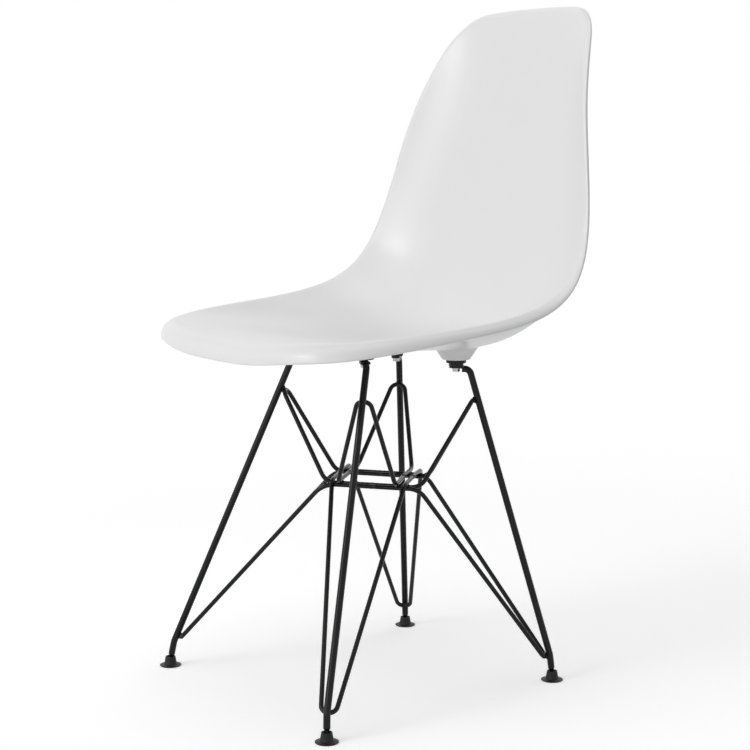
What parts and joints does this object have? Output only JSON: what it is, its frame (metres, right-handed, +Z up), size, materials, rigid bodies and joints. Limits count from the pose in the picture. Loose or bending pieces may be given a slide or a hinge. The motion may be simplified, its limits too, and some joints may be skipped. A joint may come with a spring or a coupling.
{
  "type": "shell chair",
  "caption": "Moulded plastic bucket seat shell on a base of bent steel rod legs and hairpin wire braces, with feet that tilt to the floor.",
  "frame": {"origin": "on the floor, under the middle of the chair's overall length and width", "axes": "+Z up, the sitter faces -Y, +X to the sitter's left"},
  "size_m": [0.4692, 0.4843, 0.8302],
  "materials": {
    "shell_plastic": "satin white",
    "black_steel": "black powder coat, semi-gloss",
    "spacer_plastic": "black nylon",
    "glide_plastic": "black nylon",
    "zinc_steel": "bright zinc plate",
    "insert_brass": "turned"
  },
  "bodies": {
    "chair": {"seat_shell": "shell_plastic", "thread_inserts": "insert_brass", "mount_spacer_front_left": "spacer_plastic", "mount_spacer_front_right": "spacer_plastic", "mount_spacer_rear_left": "spacer_plastic", "mount_spacer_rear_right": "spacer_plastic", "leg_front_left": "black_steel", "leg_front_right": "black_steel", "leg_rear_left": "black_steel", "leg_rear_right": "black_steel", "lug_front_left": "black_steel", "lug_front_right": "black_steel", "lug_rear_left": "black_steel", "lug_rear_right": "black_steel", "brace_upper_front_left": "black_steel", "brace_upper_front_right": "black_steel", "brace_upper_rear_left": "black_steel", "brace_upper_rear_right": "black_steel", "brace_lower_front_left": "black_steel", "brace_lower_front_right": "black_steel", "brace_lower_rear_left": "black_steel", "brace_lower_rear_right": "black_steel", "mount_bolts": "zinc_steel", "bolt_washers": "zinc_steel"},
    "glide_front_left_body": {"glide_front_left": "glide_plastic"},
    "glide_front_right_body": {"glide_front_right": "glide_plastic"},
    "glide_rear_left_body": {"glide_rear_left": "glide_plastic"},
    "glide_rear_right_body": {"glide_rear_right": "glide_plastic"}
  },
  "joints": [
    {"name": "glide_tilt_front_left", "type": "hinge", "parent": "chair", "child": "glide_front_left_body", "pos_m": [0.1774, -0.2055, 0.0072], "axis": [0.597, 0.8022, 0], "range_deg": [-8, 8]},
    {"name": "glide_tilt_front_right", "type": "hinge", "parent": "chair", "child": "glide_front_right_body", "pos_m": [-0.1774, -0.2055, 0.0072], "axis": [0.597, -0.8022, 0], "range_deg": [-8, 8]},
    {"name": "glide_tilt_rear_left", "type": "hinge", "parent": "chair", "child": "glide_rear_left_body", "pos_m": [0.1524, 0.1489, 0.0072], "axis": [-0.6727, 0.7399, 0], "range_deg": [-8, 8]},
    {"name": "glide_tilt_rear_right", "type": "hinge", "parent": "chair", "child": "glide_rear_right_body", "pos_m": [-0.1524, 0.1489, 0.0072], "axis": [-0.6727, -0.7399, 0], "range_deg": [-8, 8]}
  ]
}
